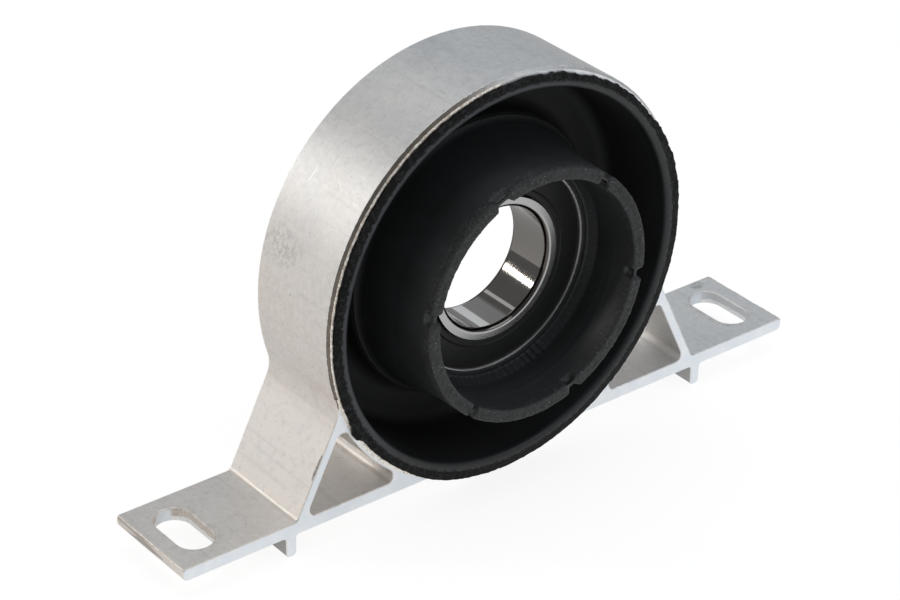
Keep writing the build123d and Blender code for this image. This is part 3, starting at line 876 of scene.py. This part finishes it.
# %% A bead that follows an edge
def bead(name, path, across, lift, half_width, height, seed, waves, gaps, finish, least=0.0):
    """A ragged tube along a path in mm; across and lift are unit vectors, one row per point.

    A higher gaps thins out more of it. Least is the smallest share of its thickness that is
    left, except at its ends, where it always tapers.
    """
    count = len(path)
    dice = np.random.default_rng(seed)
    place = np.linspace(0, waves, count)
    low = np.minimum(place.astype(int), waves - 1)
    knots = dice.uniform(0, 1, waves + 1)
    swell = knots[low] + (knots[low + 1] - knots[low]) * (place - low)
    swell = np.clip((swell - gaps) / (1 - gaps), 0.04, 1)
    swell = np.maximum(swell * (0.75 + 0.5 * dice.uniform(0, 1, count)), least)
    order = np.arange(count)
    ends = np.clip(np.minimum(order, order[::-1]) / 4, 0.05, 1)
    swell = (swell * ends)[:, None]
    corners = 6
    rings = []
    for k in range(corners):
        turn = 2 * pi * k / corners
        sideways = across * cos(turn) * half_width * swell
        rings.append(path + sideways + lift * sin(turn) * height * swell)
    points = np.stack(rings, axis=1).reshape(-1, 3) * MM
    faces = []
    for i in range(count - 1):
        ring = i * corners
        next_ring = ring + corners
        for k in range(corners):
            after = (k + 1) % corners
            faces.append((ring + k, ring + after, next_ring + after, next_ring + k))
    faces.append(tuple(reversed(range(corners))))
    faces.append(tuple((count - 1) * corners + k for k in range(corners)))
    mesh = bpy.data.meshes.new(name)
    mesh.from_pydata(points.tolist(), [], faces)
    mesh.materials.append(finish.material)
    piece = bpy.data.objects.new(name, mesh)
    bpy.context.scene.collection.objects.link(piece)
    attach(piece, "mount")
    return piece


def ring_bead(name, start, end, radius_at, depth_at, **shape):
    """A bead round the ring's front, from one angle to another; shape goes on to bead."""
    angle = np.arange(start, end, 0.25)
    turn = np.radians(angle)
    out = np.stack((np.cos(turn), np.zeros_like(turn), np.sin(turn)), axis=1)
    front = np.tile((0.0, -1.0, 0.0), (len(turn), 1))
    path = out * radius_at(angle)[:, None] - front * depth_at
    return bead(name, path, out, front, **shape)


def straight_bead(name, start, end, out, **shape):
    """A bead along a straight edge from start to end, with out pointing off the edge."""
    start, end, out = (np.array(v, float) for v in (start, end, out))
    length = np.linalg.norm(end - start)
    steps = np.linspace(0, 1, int(length / 0.15))[:, None]
    path = start + (end - start) * steps
    out = out / np.linalg.norm(out)
    across = np.cross((end - start) / length, out)
    rows = (len(path), 1)
    waves = max(4, int(length / 0.8))
    return bead(name, path, np.tile(across, rows), np.tile(out, rows), waves=waves, **shape)


print("bead helpers ready")

# %% Beads round the ring
edge_line = ring_bead(
    "ring_edge_line", 97, 206, lambda a: np.full_like(a, ring_radius), -10.42,
    half_width=0.13, height=0.15, seed=21, waves=190, gaps=0.40, finish=highlight_white_metal)
top_line = ring_bead(
    "ring_top_line", 24, 97, lambda a: np.full_like(a, ring_radius - 0.1), -10.5,
    half_width=0.14, height=0.14, seed=22, waves=110, gaps=0.35, finish=highlight_white_metal)
cream_edge = ring_bead(
    "ring_cream_edge", 94, 207,
    lambda a: 49.47 + 0.07 * ragged(a, 500, 31) - 0.1 * np.clip((150 - a) / 60, 0, 1),
    housing_front - 0.10,
    half_width=0.38, height=0.30, seed=23, waves=260, gaps=-0.2, finish=cream_metal, least=0.8)
print("ring beads", edge_line.name, top_line.name, cream_edge.name)

# %% Beads along struts and feet
strut_lean = radians(26.0)
front_edge = housing_front + 0.1
for side in (-1, 1):
    mark = "left" if side < 0 else "right"
    strut = straight_bead(
        f"{mark}_strut_burr",
        (side * 58.4, front_edge, -41.4), (side * 48.3, front_edge, -20.5),
        (side * cos(strut_lean), -1.0, sin(strut_lean)),
        half_width=0.13, height=0.12, seed=41 + side, gaps=0.35, finish=burr_metal)
    foot = straight_bead(
        f"{mark}_foot_burr",
        (side * 60.2, front_edge, foot_top - 0.1), (side * 88.3, front_edge, foot_top - 0.1),
        (0, -1, 1),
        half_width=0.14, height=0.15, seed=51 + side, gaps=0.60, finish=highlight_white_metal)
    end = straight_bead(
        f"{mark}_foot_end_burr",
        (side * 88.8, housing_front + 0.3, foot_top - 0.22), (side * 88.8, 15.0, foot_top - 0.22),
        (side, 0, 1),
        half_width=0.18, height=0.14, seed=61 + side, gaps=0.15, finish=cream_metal)
    print(mark, strut.name, foot.name, end.name)

# %% [markdown]
# ## Camera and floor
#
# The camera stands where the photograph was taken from, worked out from sizes that show in
# it: the slots, the ring and the bearing. The floor is plain and nearly white. It takes the
# part's shadow, but it also glows where the camera sees it, so that it stays pale. Mirrors see
# it brighter in front of the part than behind it.

# %% Camera at the photograph's viewing angle
view_side = radians(-38.96)
view_height = radians(30.43)
view_roll = radians(1.22)
view_distance = 650.5 * MM
looked_at = Vector((-6.24, 2.07, -9.99)) * MM

level = cos(view_height)
back = Vector((sin(view_side) * level, -cos(view_side) * level, sin(view_height)))
level_right = Vector((0, 0, 1)).cross(back).normalized()
level_up = back.cross(level_right)
right = level_right * cos(view_roll) + level_up * sin(view_roll)
up = level_up * cos(view_roll) - level_right * sin(view_roll)

lens = bpy.data.cameras.new("photo_camera")
lens.sensor_width = 36.0
lens.lens = 114.25
lens.clip_start = 0.01
camera = bpy.data.objects.new("photo_camera", lens)
bpy.context.scene.collection.objects.link(camera)
aimed = Matrix((right, up, back)).transposed().to_4x4()
camera.matrix_world = Matrix.Translation(looked_at + back * view_distance) @ aimed
bpy.context.scene.camera = camera
print("camera at, mm", [round(v / MM, 1) for v in camera.location])

# %% Pale floor that keeps the shadow
floor_height = cad_box[0][2]
floor_mesh = bpy.data.meshes.new("floor")
outline = bmesh.new()
corners = [outline.verts.new((x, y, floor_height)) for x, y in ((-4, -4), (4, -4), (4, 4), (-4, 4))]
outline.faces.new(corners)
outline.to_mesh(floor_mesh)
outline.free()
floor = bpy.data.objects.new("floor", floor_mesh)
bpy.context.scene.collection.objects.link(floor)

paper = Finish("pale_floor", Roughness=0.9, Specular_IOR_Level=0.1)
spot = paper.place()
paper.wear(Base_Color=paper.blend(paper.noise(spot, 9.0), grey(0.88), grey(0.90)))
seen = paper.node("ShaderNodeLightPath", out="Is Camera Ray")
mirrored = paper.node("ShaderNodeLightPath", out="Is Glossy Ray")
through = paper.node("ShaderNodeLightPath", out="Is Transmission Ray")
white = paper.node("ShaderNodeEmission", sockets={"Strength": 1.2})
# Painted shade: mirrors see the floor's glow dimmer behind the part, standing in for the part's
# shadow there.
in_front = paper.parts(spot)[1].below(0.004, 0.014)
reflected = mirrored * (0.20 + 0.36 * in_front)
glow = 0.72
not_seen = mirrored.maths("MAXIMUM", reflected, through * glow)
direct = seen.maths("MAXIMUM", seen * glow, not_seen)
lit = Value(paper, paper.shader.outputs["BSDF"])
both = paper.node("ShaderNodeMixShader", sockets={0: direct, 1: lit, 2: white})
paper.tree.links.new(both.socket, paper.tree.nodes["Material Output"].inputs["Surface"])
floor_mesh.materials.append(paper.material)
print("floor at, mm", round(floor_height / MM, 2))

# %% [markdown]
# ## Light
#
# A dim, even sky lights every side a little. Soft lamps stand where the photograph's bright
# patches on the ring say they were. A lamp's brightness is given for its surface, so a lamp
# can change its size and still look the same in a mirror.

# %% Even light from all round
world = bpy.data.worlds.new("studio")
world.use_nodes = True
bpy.context.scene.world = world
bpy.context.scene.view_settings.view_transform = "Standard"
sky = world.node_tree.nodes["Background"]
sky.inputs["Color"].default_value = (0.96, 0.98, 1.0, 1.0)
sky.inputs["Strength"].default_value = 0.27
print("sky strength", round(sky.inputs["Strength"].default_value, 2))

# %% Soft lamps
def softbox(name, place, width, height, brightness, tint):
    """A lamp aimed at the part, of a brightness where 1 looks white in a mirror."""
    lamp = bpy.data.lights.new(name, "AREA")
    lamp.shape = "RECTANGLE"
    lamp.size = width
    lamp.size_y = height
    lamp.energy = brightness * pi * width * height
    lamp.color = tint
    lit_by = bpy.data.objects.new(name, lamp)
    bpy.context.scene.collection.objects.link(lit_by)
    place = Vector(place)
    aimed = place.normalized().to_track_quat("Z", "Y").to_matrix().to_4x4()
    lit_by.matrix_world = Matrix.Translation(place) @ aimed


softbox("left_window", (-1.02, 1.06, 0.66), 0.07, 0.75, 20.0, (1.0, 0.965, 0.92))
softbox("right_strip", (1.0, 1.02, 0.55), 0.75, 0.42, 0.5, (0.90, 0.96, 1.0))
softbox("high_strip", (-0.1, 1.05, 1.2), 0.14, 0.15, 1.1, (0.95, 0.95, 1.0))
softbox("overhead_box", (0.1, 0.1, 1.5), 1.3, 1.1, 1.4, (0.98, 0.99, 1.0))
softbox("front_box", (0.7, -1.2, 0.9), 0.9, 0.7, 1.75, (0.93, 0.965, 1.0))
softbox("left_side_box", (-1.4, 0.15, 0.3), 0.7, 0.7, 1.15, (1.0, 0.95, 0.89))
print("lamps", len(bpy.data.lights))
